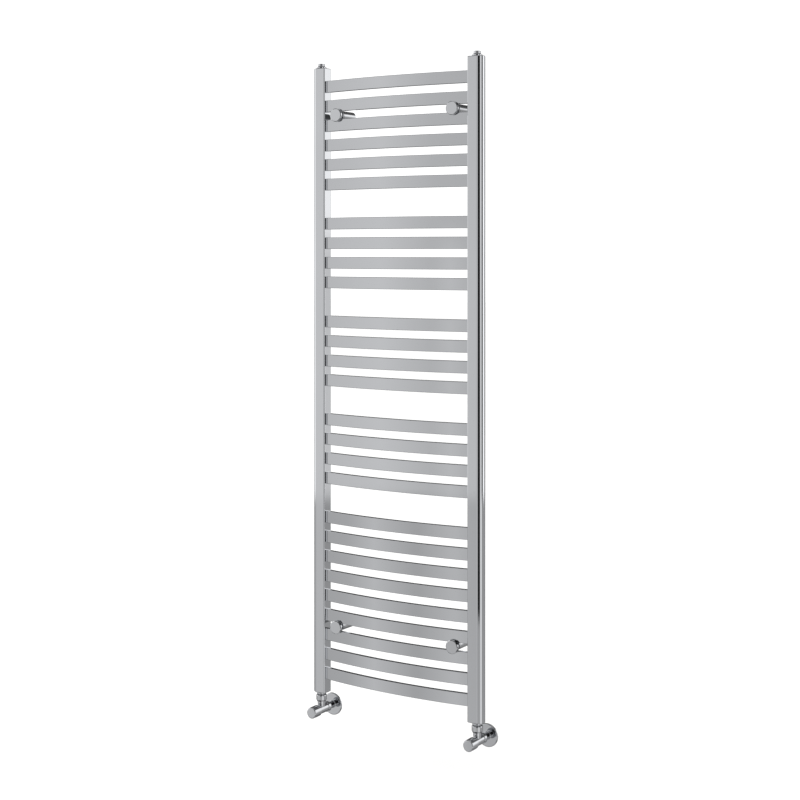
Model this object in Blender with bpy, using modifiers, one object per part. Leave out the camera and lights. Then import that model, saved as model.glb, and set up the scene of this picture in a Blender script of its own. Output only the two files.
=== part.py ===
"""Ladder towel radiator with bowed flat rungs, four clamp brackets and two angled valves.

Units are metres. +Z is up and the radiator faces -Y. The origin lies on the wall plane, midway
between the uprights and level with the axes of the two valves.
"""
import math

import bmesh
import bpy
from mathutils import Vector

# Overall frame
OVERALL_WIDTH = 0.500
WALL_TO_AXIS = 0.052          # wall plane to the middle of the uprights' depth
GAP = 0.0003                  # clearance between pieces that touch
WELD_DISTANCE = 0.00001       # points nearer than this are merged

# Uprights: a D section, flat towards the rungs and round towards the outside
UPRIGHT_WIDTH = 0.040
UPRIGHT_DEPTH = 0.030
UPRIGHT_WALL = 0.0015
UPRIGHT_END_WALL = 0.004
UPRIGHT_CORNER = 0.002
UPRIGHT_TOP_MARGIN = 0.0335   # top of the highest rung to the top of the uprights
UPRIGHT_BOTTOM_MARGIN = 0.0365

# Rungs: bowed flat tubes in groups, with one pitch left out between groups
RUNG_GROUPS = (6, 4, 4, 4, 9)
RUNG_PITCH = 0.050
RUNG_HEIGHT = 0.030
RUNG_THICKNESS = 0.010
RUNG_WALL = 0.0012
RUNG_BOW = 0.0162
RUNG_SETBACK = 0.0067         # front of the uprights to the front of the rungs' ends
RUNG_ENTRY = 0.004
RUNG_STEPS = 8

# End fittings on top of the uprights
PLUG_THREAD_RADIUS = 0.0100
PLUG_THREAD_LENGTH = 0.008
PLUG_BASE_RADIUS = 0.0125
PLUG_HEAD_RADIUS = 0.0088
PLUG_BASE_HEIGHT = 0.0035
PLUG_HEIGHT = 0.012
PLUG_HEAD_EDGE = 0.0010
PLUG_CONE_HEIGHT = 0.0020
VENT_SCREW_RADIUS = 0.0030
VENT_SCREW_LENGTH = 0.0090
VENT_BORE_RADIUS = 0.0015
VENT_SLOT_WIDTH = 0.0010
VENT_SLOT_DEPTH = 0.0015

# Brackets
BRACKET_INSET = 0.039         # inner face of the upright to the bracket's axis
BRACKET_RUNGS_ABOVE = 2       # rungs above the upper pair
BRACKET_RUNGS_BELOW = 3       # rungs below the lower pair
BRACKET_CAP_OVERLAP = 0.0068      # how far the cap covers the rungs above and below the gap
BRACKET_CAP_THICKNESS = 0.0065
BRACKET_CAP_CHAMFER = 0.0012
BRACKET_PILLAR_OVERLAP = 0.0020
BRACKET_PILLAR_CHAMFER = 0.0010
BRACKET_NECK_CLEARANCE = 0.0015
BRACKET_THREAD_RADIUS = 0.0040
BRACKET_THREAD_IN_PILLAR = 0.012
BRACKET_THREAD_IN_CAP = 0.0035
BRACKET_RECESS_RADIUS = 0.0080
BRACKET_RECESS_DEPTH = 0.018

# Valves: heights are measured up from the valve's axis, lengths forward from the tail's axis
VALVE_DROP = 0.045            # upright's lower end to the valve's axis
VALVE_SHOULDER = 0.0017       # step from the pipe side's thread up to the barrel
VALVE_BODY_WALL = 0.0040
VALVE_BODY_FRONT = 0.0165
VALVE_BODY_BACK = 0.0170
VALVE_BOSS_RADIUS = 0.0100
VALVE_BODY_EDGE = 0.0010
VALVE_BOSS_HEIGHT = 0.0234
VALVE_BOSS_TAPER = 0.0015     # how much narrower the boss is inside the barrel
VALVE_BOSS_RISE = 0.0040      # barrel's top to where the taper starts
CUT_OVERSHOOT = 0.0020        # how far a cutter passes the face it cuts
VALVE_WATERWAY_RADIUS = 0.0058
VALVE_SEAT_RADIUS = 0.0045
VALVE_SEAT_THICKNESS = 0.0030
VALVE_SEAT_BACK = 0.0080      # tail's axis back to the rear of the seat
VALVE_LIFT = 0.0045
PLUG_DISC_OVERLAP = 0.0017    # how far the plug's disc covers the seat's rim
PLUG_DISC_THICKNESS = 0.0032
PLUG_STEM_RADIUS = 0.0030
PLUG_STEM_LENGTH = 0.0145
SPINDLE_WALL = 0.0014
RUNNING_CLEARANCE = 0.0004
SPINDLE_BACK = 0.0085
SPINDLE_NECK_RADIUS = 0.0035
NECK_WALL = 0.0028
NECK_LENGTH = 0.0100
HANDLE_RADIUS = 0.0142
HANDLE_LENGTH = 0.027
HANDLE_CLEARANCE = 0.0015
HANDLE_WALL = 0.0020
HANDLE_ROUND = 0.0030
HANDLE_BOSS_WALL = 0.0024
HANDLE_GRIP_LENGTH = 0.0105
TAIL_COLLAR_RADIUS = 0.0120
TAIL_COLLAR_HEIGHT = 0.0054
TAIL_COLLAR_EDGE = 0.0015
TAIL_BORE_RADIUS = 0.0065
TAIL_TUBE_WALL = 0.0020
TAIL_FLANGE_HEIGHT = 0.0030
UNION_NUT_WALL = 0.0028
UNION_NUT_BOTTOM = 0.0215
UNION_NUT_TOP_EDGE = 0.0025
UNION_NUT_BOTTOM_EDGE = 0.0010
UNION_NUT_GROOVE = 0.0011     # gap between the nut and the tail's collar
PIPE_RADIUS = 0.0075
PIPE_CLEARANCE = 0.0005
COMPRESSION_NUT_WALL = 0.0029
COMPRESSION_NUT_LENGTH = 0.0100
COMPRESSION_NUT_EDGE = 0.0010
COMPRESSION_THREAD_WALL = 0.0018
COMPRESSION_THREAD_LENGTH = 0.0060
ROSE_RADIUS = 0.0285
ROSE_THICKNESS = 0.0040
ROSE_EDGE = 0.0020
ROSE_SLEEVE_WALL = 0.0013

# Fineness of the turned pieces
STEPS_LARGE = 16
STEPS_SMALL = 12

# Sizes that follow from the ones above
HALF_INNER = OVERALL_WIDTH / 2 - UPRIGHT_WIDTH
UPRIGHT_X = OVERALL_WIDTH / 2 - UPRIGHT_WIDTH / 2
AXIS_Y = -WALL_TO_AXIS
UPRIGHT_FRONT_Y = AXIS_Y - UPRIGHT_DEPTH / 2
RUNG_SPACES = sum(RUNG_GROUPS) + len(RUNG_GROUPS) - 2
UPRIGHT_BOTTOM = VALVE_DROP
UPRIGHT_HEIGHT = (UPRIGHT_BOTTOM_MARGIN + RUNG_SPACES * RUNG_PITCH + RUNG_HEIGHT
                  + UPRIGHT_TOP_MARGIN)
UPRIGHT_TOP = UPRIGHT_BOTTOM + UPRIGHT_HEIGHT
BOW_RADIUS = (HALF_INNER ** 2 + RUNG_BOW ** 2) / (2 * RUNG_BOW)
BOW_CENTRE_Y = (UPRIGHT_FRONT_Y + RUNG_SETBACK) + math.sqrt(BOW_RADIUS ** 2 - HALF_INNER ** 2)
BRACKET_X = HALF_INNER - BRACKET_INSET
RUNG_GAP_HALF = (RUNG_PITCH - RUNG_HEIGHT) / 2
BRACKET_CAP_RADIUS = RUNG_GAP_HALF + BRACKET_CAP_OVERLAP
BRACKET_PILLAR_RADIUS = RUNG_GAP_HALF + BRACKET_PILLAR_OVERLAP
BRACKET_NECK_RADIUS = RUNG_GAP_HALF - BRACKET_NECK_CLEARANCE
PIPE_SOCKET_RADIUS = PIPE_RADIUS + PIPE_CLEARANCE
COMPRESSION_THREAD_RADIUS = PIPE_SOCKET_RADIUS + COMPRESSION_THREAD_WALL
COMPRESSION_NUT_RADIUS = COMPRESSION_THREAD_RADIUS + GAP + COMPRESSION_NUT_WALL
VALVE_BODY_RADIUS = COMPRESSION_THREAD_RADIUS + VALVE_SHOULDER
PLUG_DISC_RADIUS = VALVE_SEAT_RADIUS + PLUG_DISC_OVERLAP
SPINDLE_SOCKET_RADIUS = PLUG_STEM_RADIUS + RUNNING_CLEARANCE
SPINDLE_RADIUS = SPINDLE_SOCKET_RADIUS + SPINDLE_WALL
NECK_RADIUS = SPINDLE_RADIUS + RUNNING_CLEARANCE + NECK_WALL
NECK_FRONT = VALVE_BODY_FRONT + NECK_LENGTH
HANDLE_BACK = VALVE_BODY_FRONT + HANDLE_CLEARANCE
HANDLE_FRONT = HANDLE_BACK + HANDLE_LENGTH
TAIL_TUBE_RADIUS = TAIL_BORE_RADIUS + TAIL_TUBE_WALL
UNION_NUT_INSIDE = max(VALVE_BOSS_RADIUS, TAIL_TUBE_RADIUS + TAIL_TUBE_WALL) + GAP
UNION_NUT_RADIUS = UNION_NUT_INSIDE + UNION_NUT_WALL
UNION_NUT_TOP = VALVE_DROP - TAIL_COLLAR_HEIGHT - UNION_NUT_GROOVE

SIDES = (("left", -1), ("right", 1))


def clear_scene():
    """Remove every object that the scene starts with."""
    for item in list(bpy.context.scene.objects):
        bpy.data.objects.remove(item, do_unlink=True)


def new_collection(name):
    """Add a collection to the scene and return it."""
    collection = bpy.data.collections.new(name)
    bpy.context.scene.collection.children.link(collection)
    return collection


def new_material(name, colour, roughness, metallic=1.0):
    """Return a Principled material of one colour."""
    material = bpy.data.materials.new(name)
    material.use_nodes = True
    shader = material.node_tree.nodes["Principled BSDF"]
    shader.inputs["Base Color"].default_value = (*colour, 1.0)
    shader.inputs["Roughness"].default_value = roughness
    shader.inputs["Metallic"].default_value = metallic
    material.diffuse_color = (*colour, 1.0)
    return material


def new_object(name, mesh, collection, material=None, location=(0, 0, 0), parent=None):
    """Link an object that holds mesh, and give it its material and parent."""
    item = bpy.data.objects.new(name, mesh)
    collection.objects.link(item)
    item.location = location
    item.parent = parent
    if material is not None:
        mesh.materials.append(material)
    return item


def hide_cutter(cutter):
    """Mark a cutter as a guide that is never rendered."""
    cutter.display_type = "WIRE"
    cutter.hide_render = True
    return cutter


def combine(target, tool, operation="DIFFERENCE"):
    """Add an exact Boolean of target with tool."""
    modifier = target.modifiers.new(tool.name, "BOOLEAN")
    modifier.operation = operation
    modifier.solver = "EXACT"
    modifier.object = tool


def profile_mesh(name, points, closed):
    """Make a wire of (radius, height) points in the XZ plane."""
    mesh = bpy.data.meshes.new(name)
    edges = [(i, i + 1) for i in range(len(points) - 1)]
    if closed:
        edges.append((len(points) - 1, 0))
    mesh.from_pydata([(radius, 0.0, height) for radius, height in points], edges, [])
    return mesh


def turned(name, points, collection, material=None, steps=STEPS_SMALL, closed=False,
           location=(0, 0, 0), parent=None, forward=False):
    """Turn a profile about its Z axis; forward lays that axis along -Y."""
    item = new_object(name, profile_mesh(name, points, closed), collection, material,
                      location, parent)
    if forward:
        item.rotation_euler.x = math.pi / 2
    screw = item.modifiers.new("turn", "SCREW")
    screw.axis = "Z"
    screw.angle = math.tau
    screw.steps = steps
    screw.render_steps = steps
    screw.use_merge_vertices = True
    screw.merge_threshold = WELD_DISTANCE
    screw.use_smooth_shade = False
    return item


def rounded_corner(radius, height, size, steps=2):
    """Points of a quarter round at the top outer edge of a turned profile."""
    points = []
    for i in range(steps + 1):
        angle = math.pi / 2 * (1 - i / steps)
        points.append((radius - size + size * math.cos(angle),
                       height - size + size * math.sin(angle)))
    return points


def cylinder_cutter(name, radius, low, high, collection, location, parent=None):
    """Make an upright round cutter between two heights on its own axis."""
    points = [(0, high), (radius, high), (radius, low), (0, low)]
    cutter = turned(name, points, collection, steps=STEPS_LARGE, location=location,
                    parent=parent)
    return hide_cutter(cutter)


def d_outline(width, depth, corner, steps=12):
    """Corners of the D section: flat at -X, round at +X, centred on its depth."""
    points = []
    for sign in (-1, 1):
        for i in range(3):
            turn = math.pi / 4 * i
            if sign < 0:
                x = -width / 2 + corner - corner * math.cos(turn)
                y = -depth / 2 + corner - corner * math.sin(turn)
            else:
                x = -width / 2 + corner - corner * math.sin(turn)
                y = depth / 2 - corner + corner * math.cos(turn)
            points.append((x, y))
        if sign < 0:
            centre = width / 2 - depth / 2
            for i in range(steps + 1):
                angle = -math.pi / 2 + math.pi * i / steps
                points.append((centre + depth / 2 * math.cos(angle),
                               depth / 2 * math.sin(angle)))
    return points


def extruded(name, points, height, collection, material=None, location=(0, 0, 0), turn=0.0):
    """Extrude a flat outline along Z, as a mesh object that sits at its middle."""
    curve = bpy.data.curves.new(name, "CURVE")
    curve.dimensions = "2D"
    curve.fill_mode = "BOTH"
    curve.extrude = height / 2
    spline = curve.splines.new("POLY")
    spline.points.add(len(points) - 1)
    for point, (x, y) in zip(spline.points, points):
        point.co = (x, y, 0, 1)
    spline.use_cyclic_u = True
    outline = bpy.data.objects.new(name + "_outline", curve)
    collection.objects.link(outline)
    bpy.context.view_layer.update()
    evaluated = outline.evaluated_get(bpy.context.evaluated_depsgraph_get())
    mesh = bpy.data.meshes.new_from_object(evaluated)
    bpy.data.objects.remove(outline, do_unlink=True)
    mesh.name = name
    shape = bmesh.new()
    shape.from_mesh(mesh)
    bmesh.ops.remove_doubles(shape, verts=shape.verts, dist=WELD_DISTANCE)
    bmesh.ops.recalc_face_normals(shape, faces=shape.faces)
    shape.to_mesh(mesh)
    shape.free()
    mesh.materials.clear()
    item = new_object(name, mesh, collection, material, location)
    item.rotation_euler.z = turn
    return item


def boxes_cutter(name, boxes, collection):
    """Make one cutter of several separate boxes, each given by its low and high corner."""
    mesh = bpy.data.meshes.new(name)
    shape = bmesh.new()
    for low, high in boxes:
        low = Vector(low)
        high = Vector(high)
        made = bmesh.ops.create_cube(shape, size=1.0)
        bmesh.ops.scale(shape, vec=high - low, verts=made["verts"])
        bmesh.ops.translate(shape, vec=(low + high) / 2, verts=made["verts"])
    shape.to_mesh(mesh)
    shape.free()
    return hide_cutter(new_object(name, mesh, collection))


def rung_heights():
    """Middle height of each rung, from the top one down."""
    top = UPRIGHT_TOP - UPRIGHT_TOP_MARGIN - RUNG_HEIGHT / 2
    heights = []
    space = 0
    for count in RUNG_GROUPS:
        for _ in range(count):
            heights.append(top - space * RUNG_PITCH)
            space += 1
        space += 1
    return heights


def rung_front_y(x):
    """Y of the rungs' front face at x."""
    return BOW_CENTRE_Y - math.sqrt(BOW_RADIUS ** 2 - x ** 2)


def rung_back_y(x):
    """Y of the rungs' back face at x."""
    return BOW_CENTRE_Y - math.sqrt((BOW_RADIUS - RUNG_THICKNESS) ** 2 - x ** 2)


def make_rungs(parts, chrome):
    """Make the bowed hollow rungs, all with one mesh."""
    half_angle = math.asin((HALF_INNER + RUNG_ENTRY) / BOW_RADIUS)
    back = BOW_RADIUS - RUNG_THICKNESS
    half = RUNG_HEIGHT / 2
    section = [(BOW_RADIUS, half), (BOW_RADIUS, -half), (back, -half), (back, half)]
    first = None
    for number, height in enumerate(rung_heights(), start=1):
        name = f"rung_{number:02d}"
        if first is None:
            rung = new_object(name, profile_mesh("rung", section, True), parts, chrome)
            bend = rung.modifiers.new("bow", "SCREW")
            bend.axis = "Z"
            bend.angle = 2 * half_angle
            bend.steps = RUNG_STEPS
            bend.render_steps = RUNG_STEPS
            bend.use_smooth_shade = False
            wall = rung.modifiers.new("wall", "SOLIDIFY")
            wall.thickness = RUNG_WALL
            wall.offset = -1.0
            wall.use_even_offset = True
            first = rung
        else:
            rung = first.copy()
            rung.name = name
            parts.objects.link(rung)
        rung.location = (0, BOW_CENTRE_Y, height)
        rung.rotation_euler.z = -math.pi / 2 - half_angle


def make_uprights(parts, cutters, chrome):
    """Make the two hollow uprights with a slot for each rung and a hole at each end."""
    middle = (UPRIGHT_BOTTOM + UPRIGHT_TOP) / 2
    inner_face = HALF_INNER + UPRIGHT_WALL
    for side, sign in SIDES:
        centre = (sign * UPRIGHT_X, AXIS_Y, middle)
        turn = 0.0 if sign > 0 else math.pi
        outline = d_outline(UPRIGHT_WIDTH, UPRIGHT_DEPTH, UPRIGHT_CORNER)
        upright = extruded(f"upright_{side}", outline, UPRIGHT_HEIGHT, parts, chrome,
                           centre, turn)
        inside = d_outline(UPRIGHT_WIDTH - 2 * UPRIGHT_WALL, UPRIGHT_DEPTH - 2 * UPRIGHT_WALL,
                           UPRIGHT_CORNER - UPRIGHT_WALL)
        cavity = extruded(f"cavity_{side}", inside, UPRIGHT_HEIGHT - 2 * UPRIGHT_END_WALL,
                          cutters, None, centre, turn)
        combine(upright, hide_cutter(cavity))
        slots = []
        for height in rung_heights():
            ends = sorted((sign * (HALF_INNER - UPRIGHT_WALL), sign * (inner_face + UPRIGHT_WALL)))
            low = (ends[0], rung_front_y(HALF_INNER) - GAP, height - RUNG_HEIGHT / 2 - GAP)
            high = (ends[1], rung_back_y(inner_face) + GAP, height + RUNG_HEIGHT / 2 + GAP)
            slots.append((low, high))
        combine(upright, boxes_cutter(f"slots_{side}", slots, cutters))
        for end, height in (("bottom", UPRIGHT_BOTTOM), ("top", UPRIGHT_TOP)):
            hole = cylinder_cutter(f"{end}_hole_{side}", PLUG_THREAD_RADIUS + GAP,
                                   -2 * UPRIGHT_END_WALL, 2 * UPRIGHT_END_WALL, cutters,
                                   (sign * UPRIGHT_X, AXIS_Y, height))
            combine(upright, hole)


def make_top_fittings(parts, cutters, chrome, brass):
    """Make the blank plug on the left upright, and the air vent and its screw on the right."""
    crown = PLUG_HEAD_RADIUS - PLUG_HEAD_EDGE
    outside = [(PLUG_HEAD_RADIUS, PLUG_HEIGHT - PLUG_HEAD_EDGE),
               (PLUG_HEAD_RADIUS, PLUG_BASE_HEIGHT + PLUG_CONE_HEIGHT),
               (PLUG_BASE_RADIUS, PLUG_BASE_HEIGHT), (PLUG_BASE_RADIUS, GAP),
               (PLUG_THREAD_RADIUS, GAP), (PLUG_THREAD_RADIUS, -PLUG_THREAD_LENGTH)]
    blank = [(0, PLUG_HEIGHT), (crown, PLUG_HEIGHT)] + outside
    blank.append((0, -PLUG_THREAD_LENGTH))
    turned("blank_plug", blank, parts, chrome, STEPS_LARGE,
           location=(-UPRIGHT_X, AXIS_Y, UPRIGHT_TOP))
    screw_bottom = PLUG_HEIGHT - VENT_SCREW_LENGTH
    bore = VENT_SCREW_RADIUS + GAP
    vent = [(bore, PLUG_HEIGHT), (crown, PLUG_HEIGHT)] + outside
    vent += [(VENT_BORE_RADIUS, -PLUG_THREAD_LENGTH), (VENT_BORE_RADIUS, screw_bottom - GAP),
             (bore, screw_bottom - GAP)]
    place = (UPRIGHT_X, AXIS_Y, UPRIGHT_TOP)
    turned("air_vent_body", vent, parts, chrome, STEPS_LARGE, closed=True, location=place)
    axis = bpy.data.objects.new("air_vent_axis", None)
    parts.objects.link(axis)
    axis.location = place
    top = PLUG_HEIGHT - GAP
    pin = [(0, top), (VENT_SCREW_RADIUS, top), (VENT_SCREW_RADIUS, screw_bottom),
           (0, screw_bottom)]
    screw = turned("air_vent_screw", pin, parts, brass, parent=axis)
    reach = 2 * VENT_SCREW_RADIUS
    slot = boxes_cutter("vent_slot", [((-reach, -VENT_SLOT_WIDTH / 2, top - VENT_SLOT_DEPTH),
                                       (reach, VENT_SLOT_WIDTH / 2, top + VENT_SLOT_DEPTH))],
                        cutters)
    slot.parent = axis
    combine(screw, slot)


def make_bracket(label, x, z, parts, chrome, steel):
    """Make one bracket: wall pillar, clamp bolt between two rungs, and round front cap."""
    near = abs(x) - math.sqrt(BRACKET_CAP_RADIUS ** 2 - RUNG_GAP_HALF ** 2)
    far = abs(x) + math.sqrt(BRACKET_PILLAR_RADIUS ** 2 - RUNG_GAP_HALF ** 2)
    cap_back = -rung_front_y(near) + GAP
    pillar_front = -rung_back_y(far) - GAP
    neck = BRACKET_NECK_RADIUS
    place = (x, 0, z)
    thread = BRACKET_THREAD_RADIUS
    hole = thread + GAP
    chamfer = BRACKET_PILLAR_CHAMFER
    hole_end = pillar_front - BRACKET_THREAD_IN_PILLAR - 2 * GAP
    pillar = [(hole, pillar_front), (BRACKET_PILLAR_RADIUS - chamfer, pillar_front),
              (BRACKET_PILLAR_RADIUS, pillar_front - chamfer), (BRACKET_PILLAR_RADIUS, 0),
              (BRACKET_RECESS_RADIUS, 0), (BRACKET_RECESS_RADIUS, BRACKET_RECESS_DEPTH),
              (hole, hole_end - (hole_end - BRACKET_RECESS_DEPTH) / 2)]
    turned(f"bracket_pillar_{label}", pillar, parts, chrome, STEPS_LARGE, True, place,
           forward=True)
    bolt = [(0, cap_back + BRACKET_THREAD_IN_CAP), (thread, cap_back + BRACKET_THREAD_IN_CAP),
            (thread, cap_back - GAP), (neck, cap_back - GAP), (neck, pillar_front + GAP),
            (thread, pillar_front + GAP), (thread, pillar_front - BRACKET_THREAD_IN_PILLAR),
            (0, pillar_front - BRACKET_THREAD_IN_PILLAR)]
    turned(f"bracket_bolt_{label}", bolt, parts, steel, STEPS_SMALL, location=place,
           forward=True)
    front = cap_back + BRACKET_CAP_THICKNESS
    socket = cap_back + BRACKET_THREAD_IN_CAP + GAP
    edge = BRACKET_CAP_CHAMFER
    cap = [(0, front), (BRACKET_CAP_RADIUS - edge, front), (BRACKET_CAP_RADIUS, front - edge),
           (BRACKET_CAP_RADIUS, cap_back), (hole, cap_back), (hole, socket), (0, socket)]
    turned(f"bracket_cap_{label}", cap, parts, chrome, STEPS_LARGE, location=place,
           forward=True)


def make_brackets(parts, chrome, steel):
    """Make the four brackets, in the gaps between rungs."""
    heights = rung_heights()
    upper = heights[BRACKET_RUNGS_ABOVE - 1] - RUNG_PITCH / 2
    lower = heights[-BRACKET_RUNGS_BELOW] + RUNG_PITCH / 2
    for row, z in (("upper", upper), ("lower", lower)):
        for side, sign in SIDES:
            make_bracket(f"{row}_{side}", sign * BRACKET_X, z, parts, chrome, steel)


def make_valve_body(side, axis, parts, cutters, chrome):
    """Make the angled body: a level barrel with a boss on top, and its waterways."""
    barrel = [(0, NECK_FRONT), (NECK_RADIUS, NECK_FRONT), (NECK_RADIUS, VALVE_BODY_FRONT),
              (VALVE_BODY_RADIUS - VALVE_BODY_EDGE, VALVE_BODY_FRONT),
              (VALVE_BODY_RADIUS, VALVE_BODY_FRONT - VALVE_BODY_EDGE),
              (VALVE_BODY_RADIUS, -VALVE_BODY_BACK),
              (COMPRESSION_THREAD_RADIUS, -VALVE_BODY_BACK),
              (COMPRESSION_THREAD_RADIUS, -VALVE_BODY_BACK - COMPRESSION_THREAD_LENGTH),
              (0, -VALVE_BODY_BACK - COMPRESSION_THREAD_LENGTH)]
    body = turned(f"{side}_valve_body", barrel, parts, chrome, STEPS_LARGE, parent=axis,
                  forward=True)
    boss_profile = [(0, VALVE_BOSS_HEIGHT), (VALVE_BOSS_RADIUS, VALVE_BOSS_HEIGHT),
                    (VALVE_BOSS_RADIUS, VALVE_BODY_RADIUS + VALVE_BOSS_RISE),
                    (VALVE_BOSS_RADIUS - VALVE_BOSS_TAPER, 0), (0, 0)]
    boss = hide_cutter(turned(f"{side}_boss", boss_profile, cutters, parent=axis))
    combine(body, boss, "UNION")
    chamber = VALVE_BODY_RADIUS - VALVE_BODY_WALL
    seat_front = -VALVE_SEAT_BACK + VALVE_SEAT_THICKNESS
    chamber_front = VALVE_BODY_FRONT - VALVE_BODY_WALL
    spindle_bore = SPINDLE_RADIUS + RUNNING_CLEARANCE
    past_back = -VALVE_BODY_BACK - 2 * COMPRESSION_THREAD_LENGTH
    past_neck = NECK_FRONT + CUT_OVERSHOOT
    bore = [(0, past_neck), (spindle_bore, past_neck),
            (spindle_bore, chamber_front), (chamber, chamber_front), (chamber, seat_front),
            (VALVE_SEAT_RADIUS, seat_front), (VALVE_SEAT_RADIUS, -VALVE_SEAT_BACK),
            (PIPE_SOCKET_RADIUS, -VALVE_SEAT_BACK), (PIPE_SOCKET_RADIUS, past_back),
            (0, past_back)]
    combine(body, hide_cutter(turned(f"{side}_bore", bore, cutters, parent=axis,
                                     forward=True)))
    combine(body, cylinder_cutter(f"{side}_outlet", VALVE_WATERWAY_RADIUS, 0.0,
                                  VALVE_BOSS_HEIGHT + CUT_OVERSHOOT, cutters, (0, 0, 0), axis))


def make_valve_tail(side, axis, parts, chrome):
    """Make the tail that screws into the upright, and the union nut that holds it."""
    collar_top = VALVE_DROP - GAP
    collar_bottom = VALVE_DROP - TAIL_COLLAR_HEIGHT
    flange_bottom = VALVE_BOSS_HEIGHT + GAP
    flange_top = flange_bottom + TAIL_FLANGE_HEIGHT
    flange = UNION_NUT_INSIDE - GAP
    tail_top = VALVE_DROP + PLUG_THREAD_LENGTH
    edge = TAIL_COLLAR_EDGE
    tail = [(TAIL_BORE_RADIUS, tail_top), (PLUG_THREAD_RADIUS, tail_top),
            (PLUG_THREAD_RADIUS, collar_top), (TAIL_COLLAR_RADIUS - edge, collar_top),
            (TAIL_COLLAR_RADIUS, collar_top - edge), (TAIL_COLLAR_RADIUS, collar_bottom + edge),
            (TAIL_COLLAR_RADIUS - edge, collar_bottom), (TAIL_TUBE_RADIUS, collar_bottom),
            (TAIL_TUBE_RADIUS, flange_top), (flange, flange_top), (flange, flange_bottom),
            (TAIL_BORE_RADIUS, flange_bottom)]
    turned(f"{side}_tail", tail, parts, chrome, STEPS_LARGE, True, parent=axis)
    lip = TAIL_TUBE_RADIUS + GAP
    top_edge = UNION_NUT_TOP_EDGE
    low_edge = UNION_NUT_BOTTOM_EDGE
    nut = [(lip, UNION_NUT_TOP), (UNION_NUT_RADIUS - top_edge, UNION_NUT_TOP),
           (UNION_NUT_RADIUS, UNION_NUT_TOP - top_edge),
           (UNION_NUT_RADIUS, UNION_NUT_BOTTOM + low_edge),
           (UNION_NUT_RADIUS - low_edge, UNION_NUT_BOTTOM), (UNION_NUT_INSIDE, UNION_NUT_BOTTOM),
           (UNION_NUT_INSIDE, flange_top + GAP), (lip, flange_top + GAP)]
    turned(f"{side}_union_nut", nut, parts, chrome, STEPS_LARGE, True, parent=axis)


def make_valve_pipe_side(side, axis, parts, chrome):
    """Make the compression nut on the pipe side, and the wall rose with its sleeve."""
    nut_front = -VALVE_BODY_BACK - GAP
    nut_back = nut_front - COMPRESSION_NUT_LENGTH
    thread_end = -VALVE_BODY_BACK - COMPRESSION_THREAD_LENGTH - GAP
    inside = COMPRESSION_THREAD_RADIUS + GAP
    bore = PIPE_SOCKET_RADIUS
    sleeve = bore + ROSE_SLEEVE_WALL
    edge = COMPRESSION_NUT_EDGE
    nut = [(inside, nut_front), (COMPRESSION_NUT_RADIUS - edge, nut_front),
           (COMPRESSION_NUT_RADIUS, nut_front - edge),
           (COMPRESSION_NUT_RADIUS, nut_back + edge), (COMPRESSION_NUT_RADIUS - edge, nut_back),
           (bore, nut_back), (bore, thread_end), (inside, thread_end)]
    turned(f"{side}_compression_nut", nut, parts, chrome, STEPS_LARGE, True, parent=axis,
           forward=True)
    wall = -WALL_TO_AXIS
    plate = wall + ROSE_THICKNESS
    rose = [(bore, nut_back - GAP), (sleeve, nut_back - GAP), (sleeve, plate),
            (ROSE_RADIUS - ROSE_EDGE, plate),
            (ROSE_RADIUS, plate - ROSE_EDGE), (ROSE_RADIUS, wall), (bore, wall)]
    turned(f"{side}_wall_rose", rose, parts, chrome, STEPS_LARGE, True, parent=axis,
           forward=True)


def make_valve_moving_parts(side, axis, parts, chrome, brass):
    """Make the plug that closes the seat, the spindle that drives it, and the handle cap."""
    disc_back = -VALVE_SEAT_BACK + VALVE_SEAT_THICKNESS + GAP
    disc_front = disc_back + PLUG_DISC_THICKNESS
    stem_front = disc_front + PLUG_STEM_LENGTH
    plug = [(0, stem_front), (PLUG_STEM_RADIUS, stem_front), (PLUG_STEM_RADIUS, disc_front),
            (PLUG_DISC_RADIUS, disc_front), (PLUG_DISC_RADIUS, disc_back), (0, disc_back)]
    turned(f"{side}_valve_plug", plug, parts, brass, parent=axis, forward=True)
    socket_end = stem_front + VALVE_LIFT + 2 * GAP
    spindle_front = HANDLE_FRONT - HANDLE_WALL - GAP
    grip_back = spindle_front - HANDLE_GRIP_LENGTH
    spindle = [(0, spindle_front), (SPINDLE_NECK_RADIUS, spindle_front),
               (SPINDLE_NECK_RADIUS, grip_back - GAP), (SPINDLE_RADIUS, grip_back - GAP),
               (SPINDLE_RADIUS, SPINDLE_BACK), (SPINDLE_SOCKET_RADIUS, SPINDLE_BACK),
               (SPINDLE_SOCKET_RADIUS, socket_end), (0, socket_end)]
    turned(f"{side}_spindle", spindle, parts, brass, parent=axis, forward=True)
    inner = HANDLE_RADIUS - HANDLE_WALL
    inner_front = HANDLE_FRONT - HANDLE_WALL
    hole = SPINDLE_NECK_RADIUS + GAP
    boss = hole + HANDLE_BOSS_WALL
    cap = [(0, HANDLE_FRONT)] + rounded_corner(HANDLE_RADIUS, HANDLE_FRONT, HANDLE_ROUND, 3)
    cap += [(HANDLE_RADIUS, HANDLE_BACK), (inner, HANDLE_BACK), (inner, inner_front),
            (boss, inner_front), (boss, grip_back), (hole, grip_back), (hole, inner_front),
            (0, inner_front)]
    turned(f"{side}_handle_cap", cap, parts, chrome, STEPS_LARGE, parent=axis, forward=True)


def make_valves(parts, cutters, chrome, brass):
    """Make both valves, each on an empty at the crossing of its two axes."""
    for side, sign in SIDES:
        axis = bpy.data.objects.new(f"{side}_valve_axis", None)
        parts.objects.link(axis)
        axis.location = (sign * UPRIGHT_X, AXIS_Y, 0)
        make_valve_body(side, axis, parts, cutters, chrome)
        make_valve_tail(side, axis, parts, chrome)
        make_valve_pipe_side(side, axis, parts, chrome)
        make_valve_moving_parts(side, axis, parts, chrome, brass)


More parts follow.
